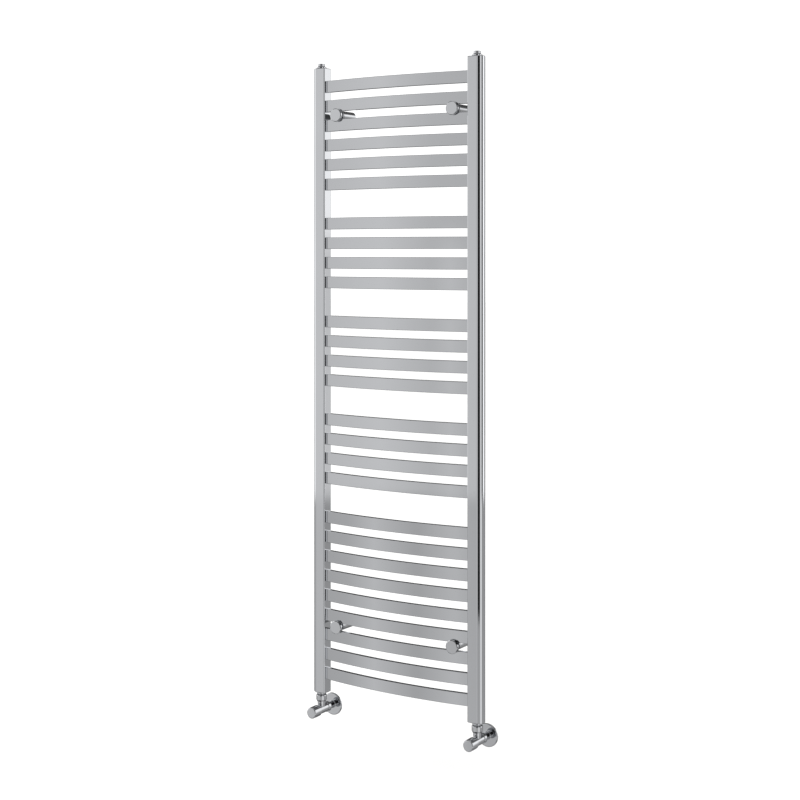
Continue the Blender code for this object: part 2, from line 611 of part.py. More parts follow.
def main():
    """Build the whole radiator."""
    clear_scene()
    parts = new_collection("Towel radiator")
    cutters = new_collection("Cutters")
    chrome = new_material("Chrome", (0.62, 0.63, 0.65), 0.08)
    steel = new_material("Zinc plated steel", (0.50, 0.51, 0.53), 0.30)
    brass = new_material("Brass", (0.72, 0.56, 0.27), 0.28)
    make_uprights(parts, cutters, chrome)
    make_rungs(parts, chrome)
    make_top_fittings(parts, cutters, chrome, brass)
    make_brackets(parts, chrome, steel)
    make_valves(parts, cutters, chrome, brass)


main()
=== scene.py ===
"""Ladder towel radiator in bright chrome, with bowed rungs, clamp brackets and two angled valves.

Every shown piece is modelled here around the solid frame of the same radiator. Units are metres.
"""
import math

import bmesh
import bpy
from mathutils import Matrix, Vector


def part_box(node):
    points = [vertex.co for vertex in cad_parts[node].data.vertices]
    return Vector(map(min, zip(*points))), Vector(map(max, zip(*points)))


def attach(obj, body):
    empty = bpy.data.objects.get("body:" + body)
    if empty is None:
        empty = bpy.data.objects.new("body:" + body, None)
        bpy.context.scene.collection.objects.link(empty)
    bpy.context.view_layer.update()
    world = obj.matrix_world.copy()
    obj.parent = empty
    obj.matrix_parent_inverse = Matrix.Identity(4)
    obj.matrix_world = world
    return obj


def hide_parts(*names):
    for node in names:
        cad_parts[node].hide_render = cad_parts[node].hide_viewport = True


bl_info = {
    "name": "Ladder Towel Radiator",
    "version": (1, 0, 0),
    "blender": (4, 5, 0),
    "location": "View3D > Sidebar > Radiator",
    "description": "Adds a chrome ladder towel radiator with its brackets, plugs and valves",
    "category": "Add Mesh",
}

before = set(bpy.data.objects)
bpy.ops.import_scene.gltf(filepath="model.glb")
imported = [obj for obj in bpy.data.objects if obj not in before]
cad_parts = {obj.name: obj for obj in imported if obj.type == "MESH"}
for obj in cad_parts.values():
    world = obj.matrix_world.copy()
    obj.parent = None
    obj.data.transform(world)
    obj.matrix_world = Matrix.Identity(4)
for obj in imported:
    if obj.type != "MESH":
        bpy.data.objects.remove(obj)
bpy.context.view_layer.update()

BODY = "radiator"
SIDES = (("left", -1), ("right", 1))
ROWS = ("upper", "lower")
# Distance within which two coordinates count as equal
NEAR = 0.00001
# Widest step along a rounded corner of a profile
ARC_STEP = math.radians(15)
# Edges flatter than this are shaded smooth
SMOOTH_ANGLE = math.radians(32)
# Radii that break small edges
FINE_EDGE = 0.0003
SMALL_EDGE = 0.0004
EDGE = 0.0005
SOFT_EDGE = 0.0006
BROAD_EDGE = 0.0008
ROUND_EDGE = 0.0010
WIDE_EDGE = 0.0012


# ---- Settings


def length_setting(name, description, default):
    """A setting that holds a length."""
    return bpy.props.FloatProperty(
        name=name, description=description, default=default, unit="LENGTH")


def colour_setting(name, description, default):
    """A setting that holds a colour."""
    return bpy.props.FloatVectorProperty(
        name=name, description=description, default=default, subtype="COLOR", min=0.0, max=1.0)


class UprightSettings(bpy.types.PropertyGroup):
    """Sizes of the two uprights that the frame leaves open."""

    corner: length_setting("Corner", "Radius of the two long edges beside the rungs", 0.0030)
    end_round: length_setting("End round", "Radius round the top and bottom of an upright", 0.0021)
    facets: bpy.props.IntProperty(
        name="Facets", description="Sides of the full circle that the round side is cut from",
        default=96)


class RungSettings(bpy.types.PropertyGroup):
    """Sizes of the bowed rungs."""

    thickness: length_setting("Thickness", "Front face to back face", 0.010)
    bow_radius: length_setting("Bow radius", "Radius of the front face seen from above", 1.36921)
    edge: length_setting("Edge", "Radius of the four long edges", 0.0013)
    steps: bpy.props.IntProperty(
        name="Steps", description="Pieces that the bow is swept in", default=48)


class BracketSettings(bpy.types.PropertyGroup):
    """Sizes of the wall brackets."""

    cap_rim: length_setting("Cap rim", "Width of the sloping rim round the cap's face", 0.0016)
    cap_slope: length_setting("Cap slope", "How far the rim falls back from the face", 0.0011)
    pillar_edge: length_setting("Pillar edge", "Radius at the front of the pillar", 0.0010)
    recess_radius: length_setting("Recess radius", "Radius of the recess for the wall fixing",
                                  0.0080)
    recess_depth: length_setting("Recess depth", "Depth of the recess for the wall fixing", 0.018)
    thread_radius: length_setting("Thread radius", "Radius of the clamp bolt's thread", 0.0040)


class FittingSettings(bpy.types.PropertyGroup):
    """Sizes of the plugs on top of the uprights."""

    head_radius: length_setting("Head radius", "Radius of the plug's head", 0.0088)
    base_height: length_setting("Base height", "Height of the broad base", 0.0035)
    cone_height: length_setting("Cone height", "Height over which the base narrows to the head",
                                0.0020)
    screw_slot: length_setting("Screw slot", "Width of the slot in the vent screw", 0.0010)


class ValveSettings(bpy.types.PropertyGroup):
    """Sizes of the angled valves, measured from the crossing of their two axes."""

    handle_round: length_setting("Handle round", "Radius round the handle's front", 0.0028)
    nut_round: length_setting("Nut shoulder", "Radius of the union nut's shoulder", 0.0030)
    rose_round: length_setting("Rose round", "Radius round the front of the wall rose", 0.0024)
    gap: length_setting("Gap", "Clearance between pieces that touch", 0.0003)


class FinishSettings(bpy.types.PropertyGroup):
    """Colours of the metals."""

    chrome: colour_setting("Chrome", "Colour of the polished plating", (0.62, 0.63, 0.65))
    steel: colour_setting("Plated steel", "Colour of the zinc plated bolts", (0.50, 0.51, 0.53))
    brass: colour_setting("Brass", "Colour of the machined brass", (0.72, 0.56, 0.27))


class StageSettings(bpy.types.PropertyGroup):
    """Camera, floor and light."""

    camera_place: bpy.props.FloatVectorProperty(
        name="Camera place", description="Where the camera stands",
        default=(1.9749, -3.1178, 1.1767), subtype="TRANSLATION")
    camera_turn: bpy.props.FloatProperty(
        name="Camera turn", description="How far the level camera is turned to its left",
        default=math.radians(32.661), subtype="ANGLE")
    lens: bpy.props.FloatProperty(
        name="Lens", description="Focal length in millimetres", default=66.012)
    rise: bpy.props.FloatProperty(
        name="Rise", description="Upward shift of the view", default=-0.1863)
    floor_height: length_setting("Floor height", "Height of the floor", -0.150)
    floor_colour: colour_setting("Floor colour", "Colour of the pale floor", (0.93, 0.93, 0.925))


# ---- Modelling helpers


def clear_selection():
    """Leave edit mode and select nothing."""
    if bpy.context.mode != "OBJECT":
        bpy.ops.object.mode_set(mode="OBJECT")
    bpy.ops.object.select_all(action="DESELECT")


def take(piece):
    """Make piece the only selected and the active object."""
    clear_selection()
    piece.select_set(True)
    bpy.context.view_layer.objects.active = piece


def name_new(name):
    """Name the object that a primitive operator has just added."""
    piece = bpy.context.object
    piece.name = name
    piece.data.name = name
    return piece


def settle():
    """Put the active object's place, turn and scale into its mesh."""
    bpy.ops.object.mode_set(mode="OBJECT")
    bpy.ops.object.transform_apply(location=True, rotation=True, scale=True)


def pick_all():
    """In edit mode, select the whole mesh."""
    bpy.ops.mesh.select_all(action="SELECT")


def pick_faces(piece, test):
    """In edit mode, select only the faces whose centre and normal pass the test."""
    bpy.ops.mesh.select_mode(type="FACE")
    bpy.ops.mesh.select_all(action="DESELECT")
    shape = bmesh.from_edit_mesh(piece.data)
    for face in shape.faces:
        if test(face.calc_center_median(), face.normal):
            face.select_set(True)
    bmesh.update_edit_mesh(piece.data)


def pick_edges(piece, test):
    """In edit mode, select only the edges whose two ends pass the test."""
    bpy.ops.mesh.select_mode(type="EDGE")
    bpy.ops.mesh.select_all(action="DESELECT")
    shape = bmesh.from_edit_mesh(piece.data)
    for edge in shape.edges:
        if test(edge.verts[0].co, edge.verts[1].co):
            edge.select_set(True)
    bmesh.update_edit_mesh(piece.data)


def close_shape():
    """In edit mode, merge doubles and turn every face outwards."""
    bpy.ops.mesh.select_mode(type="VERT")
    pick_all()
    bpy.ops.mesh.remove_doubles(threshold=NEAR / 4)
    bpy.ops.mesh.normals_make_consistent(inside=False)


def smooth(piece, angle=SMOOTH_ANGLE):
    """Shade a finished piece smooth up to an angle, with flat faces kept flat."""
    take(piece)
    bpy.ops.object.shade_smooth_by_angle(angle=angle)
    weighted = piece.modifiers.new("Even shading", "WEIGHTED_NORMAL")
    weighted.keep_sharp = True
    weighted.weight = 100
    bpy.ops.object.modifier_apply(modifier=weighted.name)


def arc_points(before, corner, after, radius):
    """Points of the arc that rounds one corner of a profile."""
    into = (Vector(before) - Vector(corner)).normalized()
    out = (Vector(after) - Vector(corner)).normalized()
    opening = into.angle(out)
    reach = radius / math.tan(opening / 2)
    middle = Vector(corner) + (into + out).normalized() * (radius / math.sin(opening / 2))
    start = Vector(corner) + into * reach - middle
    end = Vector(corner) + out * reach - middle
    sweep = start.angle_signed(end)
    count = max(2, math.ceil(abs(sweep) / ARC_STEP))
    points = []
    for i in range(count + 1):
        turn = -sweep * i / count
        points.append((middle.x + start.x * math.cos(turn) - start.y * math.sin(turn),
                       middle.y + start.x * math.sin(turn) + start.y * math.cos(turn)))
    return points


def rounded(profile, closed):
    """Points of a profile whose corners may carry a radius as a third number."""
    points = []
    last = len(profile) - 1
    for i, corner in enumerate(profile):
        radius = corner[2] if len(corner) > 2 else 0.0
        inner = closed or 0 < i < last
        if radius > 0 and inner:
            points += arc_points(profile[i - 1][:2], corner[:2],
                                 profile[(i + 1) % len(profile)][:2], radius)
        else:
            points.append((corner[0], corner[1]))
    return points


def turned(name, profile, centre, forward=True, closed=False, steps=72):
    """Turn a profile of (radius, length) corners on an axis, as on a lathe.

    The axis runs forward, along -Y, or else straight up. A closed profile leaves a bore.
    """
    axis = Vector((0, -1, 0)) if forward else Vector((0, 0, 1))
    side = Vector((1, 0, 0))
    points = [Vector(centre) + side * radius + axis * length
              for radius, length in rounded(profile, closed)]
    clear_selection()
    bpy.ops.mesh.primitive_plane_add(size=0.01, location=points[0])
    piece = name_new(name)
    settle()
    bpy.ops.object.mode_set(mode="EDIT")
    pick_all()
    bpy.ops.mesh.merge(type="CENTER")
    bpy.ops.mesh.select_mode(type="VERT")
    for before, after in zip(points, points[1:]):
        bpy.ops.mesh.extrude_region_move(TRANSFORM_OT_translate={"value": after - before})
    pick_all()
    if closed:
        bpy.ops.mesh.extrude_region_move()
        pick_all()
        bpy.ops.mesh.remove_doubles(threshold=NEAR / 4)
        shape = bmesh.from_edit_mesh(piece.data)
        ends = [v for v in shape.verts if len(v.link_edges) < 2]
        for vertex in shape.verts:
            vertex.select_set(vertex in ends)
        bmesh.update_edit_mesh(piece.data)
        bpy.ops.mesh.edge_face_add()
        pick_all()
    bpy.ops.mesh.spin(steps=steps, angle=math.tau, center=centre, axis=axis)
    close_shape()
    settle()
    return piece


def cut(piece, tool, operation="DIFFERENCE"):
    """Cut piece with tool, or join them, and delete the tool."""
    take(piece)
    boolean = piece.modifiers.new("Cut", "BOOLEAN")
    boolean.operation = operation
    boolean.solver = "EXACT"
    boolean.object = tool
    bpy.ops.object.modifier_apply(modifier=boolean.name)
    take(tool)
    bpy.ops.object.delete()


def copied(piece, name, shift):
    """Copy a piece with its own mesh to another place."""
    take(piece)
    bpy.ops.object.duplicate(linked=False)
    twin = name_new(name)
    bpy.ops.transform.translate(value=shift)
    bpy.ops.object.transform_apply(location=True, rotation=True, scale=True)
    return twin


def hand_in(piece, body, slot, *nodes):
    """Let a finished piece stand for its nodes and ride on its body. The slot is not used."""
    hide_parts(*nodes)
    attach(piece, body)


# ---- Finishes


def add_node(tree, kind, place, **values):
    """Add a node, place it and set its properties."""
    node = tree.nodes.new(kind)
    node.location = place
    for key, value in values.items():
        setattr(node, key, value)
    return node


def fill(node, values):
    """Set input sockets of a node, each by its name or number."""
    for label, value in values.items():
        node.inputs[label].default_value = value


def wire(tree, *joins):
    """Join sockets: each row names a node, its output, the next node and its input."""
    for source, output, target, entry in joins:
        tree.links.new(source.outputs[output], target.inputs[entry])


def new_group(name, inputs, outputs):
    """Add a shader node group with named sockets and return it with its two end nodes."""
    tree = bpy.data.node_groups.new(name, "ShaderNodeTree")
    for label, kind, default in inputs:
        socket = tree.interface.new_socket(label, in_out="INPUT", socket_type=kind)
        if default is not None:
            socket.default_value = default
    for label, kind in outputs:
        tree.interface.new_socket(label, in_out="OUTPUT", socket_type=kind)
    return (tree, add_node(tree, "NodeGroupInput", (-900, 0)),
            add_node(tree, "NodeGroupOutput", (700, 0)))


def polish_marks():
    """Group: the fine hairlines that polishing and wiping leave in a metal."""
    found = bpy.data.node_groups.get("Polish marks")
    if found:
        return found
    tree, start, end = new_group(
        "Polish marks",
        [("Vector", "NodeSocketVector", None), ("Scale", "NodeSocketFloat", 900.0),
         ("Spread", "NodeSocketFloat", 0.02), ("Base", "NodeSocketFloat", 0.06)],
        [("Roughness", "NodeSocketFloat"), ("Height", "NodeSocketFloat"),
         ("Mask", "NodeSocketFloat")])
    stretch = add_node(tree, "ShaderNodeMapping", (-700, 200))
    fill(stretch, {"Rotation": (0.25, 0.1, 0.35), "Scale": (1.0, 1.0, 0.06)})
    hair = add_node(tree, "ShaderNodeTexNoise", (-500, 200))
    fill(hair, {"Detail": 4.0})
    cross = add_node(tree, "ShaderNodeMapping", (-700, -100))
    fill(cross, {"Rotation": (0.1, 0.5, 1.2), "Scale": (0.05, 1.0, 1.0)})
    hair_across = add_node(tree, "ShaderNodeTexNoise", (-500, -100))
    fill(hair_across, {"Detail": 3.0})
    cloud = add_node(tree, "ShaderNodeTexNoise", (-500, -350))
    fill(cloud, {"Scale": 9.0, "Detail": 2.0})
    both = add_node(tree, "ShaderNodeMath", (-300, 80), operation="MAXIMUM")
    thin = add_node(tree, "ShaderNodeMapRange", (-120, 80))
    fill(thin, {"From Min": 0.60, "From Max": 0.82})
    soft = add_node(tree, "ShaderNodeMapRange", (-300, -350))
    fill(soft, {"From Min": 0.30, "From Max": 0.70})
    marks = add_node(tree, "ShaderNodeMath", (60, 40), operation="MULTIPLY_ADD")
    fill(marks, {1: 0.55})
    spread = add_node(tree, "ShaderNodeMath", (240, 40), operation="MULTIPLY_ADD")
    wire(tree, (start, "Vector", stretch, "Vector"), (start, "Vector", cross, "Vector"),
         (start, "Vector", cloud, "Vector"), (stretch, "Vector", hair, "Vector"),
         (cross, "Vector", hair_across, "Vector"), (start, "Scale", hair, "Scale"),
         (start, "Scale", hair_across, "Scale"), (hair, "Fac", both, 0),
         (hair_across, "Fac", both, 1), (both, 0, thin, "Value"), (cloud, "Fac", soft, "Value"),
         (thin, "Result", marks, 0), (soft, "Result", marks, 2), (marks, 0, spread, 0),
         (start, "Spread", spread, 1), (start, "Base", spread, 2), (spread, 0, end, "Roughness"),
         (thin, "Result", end, "Height"), (marks, 0, end, "Mask"))
    return tree


def water_spots():
    """Group: faint rings that dried drops leave on metal."""
    found = bpy.data.node_groups.get("Water spots")
    if found:
        return found
    tree, start, end = new_group(
        "Water spots",
        [("Vector", "NodeSocketVector", None), ("Scale", "NodeSocketFloat", 60.0),
         ("Amount", "NodeSocketFloat", 0.5)],
        [("Mask", "NodeSocketFloat")])
    cells = add_node(tree, "ShaderNodeTexVoronoi", (-600, 100))
    ring = add_node(tree, "ShaderNodeMapRange", (-400, 200), interpolation_type="SMOOTHSTEP")
    fill(ring, {"From Min": 0.16, "From Max": 0.12})
    inside = add_node(tree, "ShaderNodeMapRange", (-400, -50), interpolation_type="SMOOTHSTEP")
    fill(inside, {"From Min": 0.05, "From Max": 0.12, "To Min": 0.35})
    rare = add_node(tree, "ShaderNodeSeparateColor", (-400, -300))
    few = add_node(tree, "ShaderNodeMath", (-200, -300), operation="GREATER_THAN")
    fill(few, {1: 0.80})
    shape = add_node(tree, "ShaderNodeMath", (-200, 100), operation="MULTIPLY")
    kept = add_node(tree, "ShaderNodeMath", (0, 50), operation="MULTIPLY")
    faint = add_node(tree, "ShaderNodeMath", (200, 50), operation="MULTIPLY")
    wire(tree, (start, "Vector", cells, "Vector"), (start, "Scale", cells, "Scale"),
         (cells, "Distance", ring, "Value"), (cells, "Distance", inside, "Value"),
         (cells, "Color", rare, "Color"), (rare, "Red", few, 0), (ring, "Result", shape, 0),
         (inside, "Result", shape, 1), (shape, 0, kept, 0), (few, 0, kept, 1),
         (kept, 0, faint, 0), (start, "Amount", faint, 1), (faint, 0, end, "Mask"))
    return tree


def edge_rub():
    """Group: where hands and cloths rub the edges of a piece."""
    found = bpy.data.node_groups.get("Edge rub")
    if found:
        return found
    tree, start, end = new_group(
        "Edge rub",
        [("Vector", "NodeSocketVector", None), ("Amount", "NodeSocketFloat", 0.5)],
        [("Mask", "NodeSocketFloat")])
    shape = add_node(tree, "ShaderNodeNewGeometry", (-600, 150))
    sharp = add_node(tree, "ShaderNodeMapRange", (-400, 150))
    fill(sharp, {"From Min": 0.52, "From Max": 0.62})
    patchy = add_node(tree, "ShaderNodeTexNoise", (-600, -150))
    fill(patchy, {"Scale": 140.0, "Detail": 3.0})
    broken = add_node(tree, "ShaderNodeMath", (-200, 50), operation="MULTIPLY")
    worn = add_node(tree, "ShaderNodeMath", (0, 50), operation="MULTIPLY")
    wire(tree, (start, "Vector", patchy, "Vector"), (shape, "Pointiness", sharp, "Value"),
         (sharp, "Result", broken, 0), (patchy, "Fac", broken, 1), (broken, 0, worn, 0),
         (start, "Amount", worn, 1), (worn, 0, end, "Mask"))
    return tree


def place_group(tree, group, place, **values):
    """Place a node group in a material and set its inputs."""
    node = add_node(tree, "ShaderNodeGroup", place, node_tree=group)
    for label, value in values.items():
        node.inputs[label.replace("_", " ").capitalize()].default_value = value
    return node


def metal(name, colour, worn_colour, base, spread, mark_scale, depth, spots, rub):
    """Return a polished or machined metal with marks, dried drops and rubbed edges."""
    found = bpy.data.materials.get(name)
    if found:
        return found
    material = bpy.data.materials.new(name)
    material.use_nodes = True
    material.diffuse_color = (*colour, 1.0)
    tree = material.node_tree
    shader = tree.nodes["Principled BSDF"]
    fill(shader, {"Metallic": 1.0})
    coordinates = add_node(tree, "ShaderNodeTexCoord", (-1200, 0))
    marks = place_group(tree, polish_marks(), (-900, 100), scale=mark_scale, spread=spread,
                        base=base)
    drops = place_group(tree, water_spots(), (-900, -150), amount=spots)
    edges = place_group(tree, edge_rub(), (-900, -350), amount=rub)
    tone = add_node(tree, "ShaderNodeTexNoise", (-900, 400))
    fill(tone, {"Scale": 5.0, "Detail": 3.0})
    shade = add_node(tree, "ShaderNodeMix", (-600, 350), data_type="RGBA")
    fill(shade, {"A": (*[c * 0.965 for c in colour], 1.0)})
    fill(shade, {"B": (*[min(1.0, c * 1.03) for c in colour], 1.0)})
    worn = add_node(tree, "ShaderNodeMix", (-380, 300), data_type="RGBA")
    fill(worn, {"B": (*worn_colour, 1.0)})
    dull = add_node(tree, "ShaderNodeMath", (-600, -50), operation="MULTIPLY_ADD")
    fill(dull, {1: 0.10})
    rougher = add_node(tree, "ShaderNodeMath", (-380, -80), operation="MULTIPLY_ADD")
    fill(rougher, {1: 0.08})
    relief = add_node(tree, "ShaderNodeBump", (-380, -320))
    fill(relief, {"Strength": 0.25, "Distance": depth})
    wire(tree, (coordinates, "Object", marks, "Vector"), (coordinates, "Object", drops, "Vector"),
         (coordinates, "Object", edges, "Vector"), (coordinates, "Object", tone, "Vector"),
         (tone, "Fac", shade, "Factor"), (shade, "Result", worn, "A"),
         (edges, "Mask", worn, "Factor"), (worn, "Result", shader, "Base Color"),
         (drops, "Mask", dull, 0), (marks, "Roughness", dull, 2), (edges, "Mask", rougher, 0),
         (dull, 0, rougher, 2), (rougher, 0, shader, "Roughness"),
         (marks, "Height", relief, "Height"), (relief, "Normal", shader, "Normal"))
    return material


def chrome():
    """Polished chrome plate."""
    colour = tuple(bpy.context.scene.radiator_finish.chrome)
    return metal("Polished chrome plate", colour, (0.70, 0.71, 0.72), 0.026, 0.022, 700.0,
                 0.0000025, 0.5, 0.5)


def plated_steel():
    """Zinc plated steel of the clamp bolts."""
    colour = tuple(bpy.context.scene.radiator_finish.steel)
    return metal("Zinc plated steel", colour, (0.60, 0.60, 0.60), 0.20, 0.10, 450.0,
                 0.00004, 0.8, 0.8)


def brass():
    """Machined brass of the vent screw and the parts inside the valves."""
    colour = tuple(bpy.context.scene.radiator_finish.brass)
    return metal("Machined brass", colour, (0.80, 0.66, 0.38), 0.18, 0.12, 500.0,
                 0.00004, 0.6, 0.8)


def coat(piece, material):
    """Give a piece one material only."""
    piece.data.materials.clear()
    piece.data.materials.append(material)


# ---- Pieces


class AddUprights(bpy.types.Operator):
    """Add the two uprights: a D section, flat towards the rungs, with rounded ends."""

    bl_idname = "radiator.add_uprights"
    bl_label = "Uprights"

    def execute(self, context):
        sizes = context.scene.radiator_uprights
        for side, sign in SIDES:
            low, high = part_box(f"upright_{side}")
            middle = (low + high) / 2
            radius = (high.y - low.y) / 2
            outer = high.x if sign > 0 else low.x
            inner = low.x if sign > 0 else high.x
            turn_x = outer - sign * radius
            clear_selection()
            bpy.ops.mesh.primitive_cylinder_add(
                vertices=sizes.facets, radius=radius, depth=high.z - low.z,
                location=(turn_x, middle.y, middle.z))
            piece = name_new(f"{side}_upright")
            settle()
            bpy.ops.object.mode_set(mode="EDIT")
            pick_all()
            bpy.ops.mesh.bisect(plane_co=(turn_x, middle.y, middle.z), plane_no=(sign, 0, 0),
                                use_fill=True, clear_inner=True)
            pick_faces(piece, lambda c, n: abs(c.x - turn_x) < NEAR and abs(n.x) > 0.99)
            bpy.ops.mesh.extrude_region_move(
                TRANSFORM_OT_translate={"value": (inner - turn_x, 0, 0)})
            close_shape()
            pick_edges(piece, lambda a, b: abs(a.x - inner) < NEAR and abs(b.x - inner) < NEAR
                       and abs(a.z - b.z) > radius)
            bpy.ops.mesh.bevel(offset=sizes.corner, segments=8, profile=0.5)
            pick_edges(piece, lambda a, b: abs(a.z - b.z) < NEAR
                       and (abs(a.z - low.z) < NEAR or abs(a.z - high.z) < NEAR)
                       and (a - b).length < 3 * radius)
            bpy.ops.mesh.bevel(offset=sizes.end_round, segments=5, profile=0.5)
            close_shape()
            settle()
            smooth(piece)
            coat(piece, chrome())
            hand_in(piece, BODY, "chrome", f"upright_{side}")
        return {"FINISHED"}


class AddRungs(bpy.types.Operator):
    """Add the bowed rungs: one is swept along its bow, and the others are copies of it."""

    bl_idname = "radiator.add_rungs"
    bl_label = "Rungs"

    def execute(self, context):
        sizes = context.scene.radiator_rungs
        names = sorted(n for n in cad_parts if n.startswith("rung_"))
        low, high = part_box(names[0])
        height = high.z - low.z
        middle = (low.z + high.z) / 2
        half_angle = math.asin(high.x / sizes.bow_radius)
        bow_y = low.y + sizes.bow_radius
        reach = sizes.bow_radius - sizes.thickness / 2
        clear_selection()
        bpy.ops.mesh.primitive_plane_add(
            size=1.0,
            location=(-reach * math.sin(half_angle), bow_y - reach * math.cos(half_angle), middle),
            rotation=(0, math.pi / 2, -half_angle))
        first = name_new("bowed_" + names[0])
        first.scale = (height, sizes.thickness, 1.0)
        settle()
        bpy.ops.object.mode_set(mode="EDIT")
        pick_all()
        bpy.ops.mesh.bevel(offset=sizes.edge, segments=6, profile=0.5, affect="VERTICES")
        pick_all()
        bpy.ops.mesh.delete(type="ONLY_FACE")
        bpy.ops.mesh.select_mode(type="EDGE")
        pick_all()
        bpy.ops.mesh.spin(steps=sizes.steps, angle=-2 * half_angle, center=(0, bow_y, middle),
                          axis=(0, 0, 1))
        pick_all()
        bpy.ops.mesh.fill_holes(sides=0)
        close_shape()
        settle()
        smooth(first)
        coat(first, chrome())
        for name in names[1:]:
            place = (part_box(name)[0].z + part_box(name)[1].z) / 2
            twin = copied(first, "bowed_" + name, (0, 0, place - middle))
            hand_in(twin, BODY, "chrome", name)
        hand_in(first, BODY, "chrome", names[0])
        return {"FINISHED"}


class AddBrackets(bpy.types.Operator):
    """Add the four wall brackets, each with a pillar, a clamp bolt and a round cap."""

    bl_idname = "radiator.add_brackets"
    bl_label = "Brackets"

    def execute(self, context):
        sizes = context.scene.radiator_brackets
        label = f"{ROWS[0]}_{SIDES[0][0]}"
        cap_low, cap_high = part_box(f"bracket_cap_{label}")
        pillar_low, pillar_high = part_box(f"bracket_pillar_{label}")
        bolt_low, bolt_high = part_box(f"bracket_bolt_{label}")
        centre = ((cap_low.x + cap_high.x) / 2, 0, (cap_low.z + cap_high.z) / 2)
        cap_radius = (cap_high.z - cap_low.z) / 2
        pillar_radius = (pillar_high.z - pillar_low.z) / 2
        neck = (bolt_high.z - bolt_low.z) / 2
        gap = context.scene.radiator_valves.gap
        cap_front, cap_back = -cap_low.y, -cap_high.y
        pillar_front = -pillar_low.y
        thread, hole = sizes.thread_radius, sizes.thread_radius + gap
        face = cap_radius - sizes.cap_rim
        socket = -bolt_low.y + gap
        cap = turned(f"{label}_cap", [
            (0, cap_front), (face, cap_front, EDGE),
            (cap_radius, cap_front - sizes.cap_slope, SOFT_EDGE),
            (cap_radius, cap_back, EDGE), (hole, cap_back), (hole, socket), (0, socket)],
            centre)
        groove = pillar_front - 0.0040
        groove_start, groove_end, groove_back = 0.0004, 0.0010, 0.0014
        groove_radius = pillar_radius - 0.0005
        recess_cone = 0.004
        pillar = turned(f"{label}_pillar", [
            (hole, pillar_front), (pillar_radius, pillar_front, sizes.pillar_edge),
            (pillar_radius, groove), (groove_radius, groove - groove_start),
            (groove_radius, groove - groove_end), (pillar_radius, groove - groove_back),
            (pillar_radius, 0), (sizes.recess_radius, 0),
            (sizes.recess_radius, sizes.recess_depth),
            (hole, sizes.recess_depth + recess_cone)],
            centre, closed=True)
        bolt = turned(f"{label}_bolt", [
            (0, -bolt_low.y), (thread, -bolt_low.y, SOFT_EDGE), (thread, cap_back - gap),
            (neck, cap_back - gap, EDGE), (neck, pillar_front + gap, EDGE),
            (thread, pillar_front + gap), (thread, -bolt_high.y, SOFT_EDGE), (0, -bolt_high.y)],
            centre)
        made = ((cap, "cap", "chrome", chrome()), (pillar, "pillar", "chrome", chrome()),
                (bolt, "bolt", "plated_steel", plated_steel()))
        for piece, part, slot, material in made:
            smooth(piece)
            coat(piece, material)
            for row in ROWS:
                for side, _ in SIDES:
                    place = f"{row}_{side}"
                    if place == label:
                        continue
                    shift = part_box(f"bracket_{part}_{place}")[0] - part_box(
                        f"bracket_{part}_{label}")[0]
                    twin = copied(piece, f"{place}_{part}", shift)
                    hand_in(twin, BODY, slot, f"bracket_{part}_{place}")
            hand_in(piece, BODY, slot, f"bracket_{part}_{label}")
        return {"FINISHED"}


class AddTopFittings(bpy.types.Operator):
    """Add the blank plug on the left upright, and the air vent and its screw on the right."""

    bl_idname = "radiator.add_top_fittings"
    bl_label = "Top fittings"

    def execute(self, context):
        sizes = context.scene.radiator_fittings
        gap = context.scene.radiator_valves.gap
        low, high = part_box("blank_plug")
        top_of_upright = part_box("upright_left")[1].z
        base = (high.x - low.x) / 2
        head = sizes.head_radius
        height = high.z - top_of_upright
        bottom = low.z - top_of_upright
        thread = base - 0.0025
        shoulder = sizes.base_height
        head_round = 0.0009
        slot_tool_height = 0.003
        outside = [(head, height, head_round),
                   (head, shoulder + sizes.cone_height, BROAD_EDGE),
                   (base, shoulder, BROAD_EDGE), (base, gap, FINE_EDGE), (thread, gap),
                   (thread, bottom, EDGE)]
        blank = turned("top_plug", [(0, height)] + outside + [(0, bottom)],
                       ((low.x + high.x) / 2, (low.y + high.y) / 2, top_of_upright),
                       forward=False)
        screw_low, screw_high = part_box("air_vent_screw")
        screw_radius = (screw_high.x - screw_low.x) / 2
        bore = screw_radius + gap
        screw_bottom = screw_low.z - top_of_upright
        vent_low, vent_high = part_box("air_vent_body")
        vent_axis = ((vent_low.x + vent_high.x) / 2, (vent_low.y + vent_high.y) / 2,
                     top_of_upright)
        body = turned("air_vent", [(bore, height, FINE_EDGE)] + outside + [
            (bore / 2, bottom), (bore / 2, screw_bottom - gap), (bore, screw_bottom - gap)],
            vent_axis, forward=False, closed=True)
        screw_top = screw_high.z - top_of_upright
        screw = turned("bleed_screw", [
            (0, screw_top), (screw_radius, screw_top, SMALL_EDGE),
            (screw_radius, screw_bottom, SMALL_EDGE), (0, screw_bottom)],
            vent_axis, forward=False, steps=48)
        clear_selection()
        bpy.ops.mesh.primitive_cube_add(
            size=1.0, location=(vent_axis[0], vent_axis[1], screw_high.z))
        tool = name_new("slot_tool")
        tool.scale = (4 * screw_radius, sizes.screw_slot, slot_tool_height)
        settle()
        cut(screw, tool)
        for piece, body_name, slot, material, node in (
                (blank, BODY, "chrome", chrome(), "blank_plug"),
                (body, BODY, "chrome", chrome(), "air_vent_body"),
                (screw, "vent_screw", "brass", brass(), "air_vent_screw")):
            smooth(piece)
            coat(piece, material)
            hand_in(piece, body_name, slot, node)
        return {"FINISHED"}


